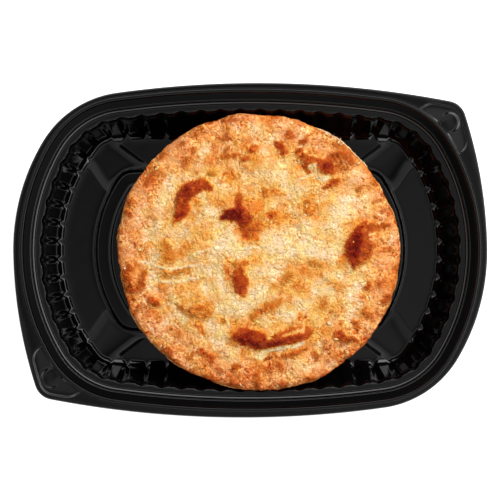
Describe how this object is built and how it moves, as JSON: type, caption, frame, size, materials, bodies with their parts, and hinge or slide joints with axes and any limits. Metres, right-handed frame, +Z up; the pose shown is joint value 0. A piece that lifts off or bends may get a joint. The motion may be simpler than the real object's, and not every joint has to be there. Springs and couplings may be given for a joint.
{
  "type": "beef pot pie in its serving tray",
  "caption": "Whole round beef pot pie with a blistered golden crust, standing in a deep black fluted oval tray with two lift tabs.",
  "frame": {"origin": "middle of the tray's bounding box, on the table the tray stands on", "axes": "+X along the tray's length, +Y across it, +Z up; the lift tabs are at the +X +Y and -X -Y corners"},
  "size_m": [0.2458, 0.1736, 0.05],
  "materials": {
    "tray_black_plastic": "glossy thermoformed black plastic",
    "pie_baked_crust": null
  },
  "bodies": {
    "root": {"tray": "tray_black_plastic", "pie": "pie_baked_crust"}
  },
  "joints": []
}
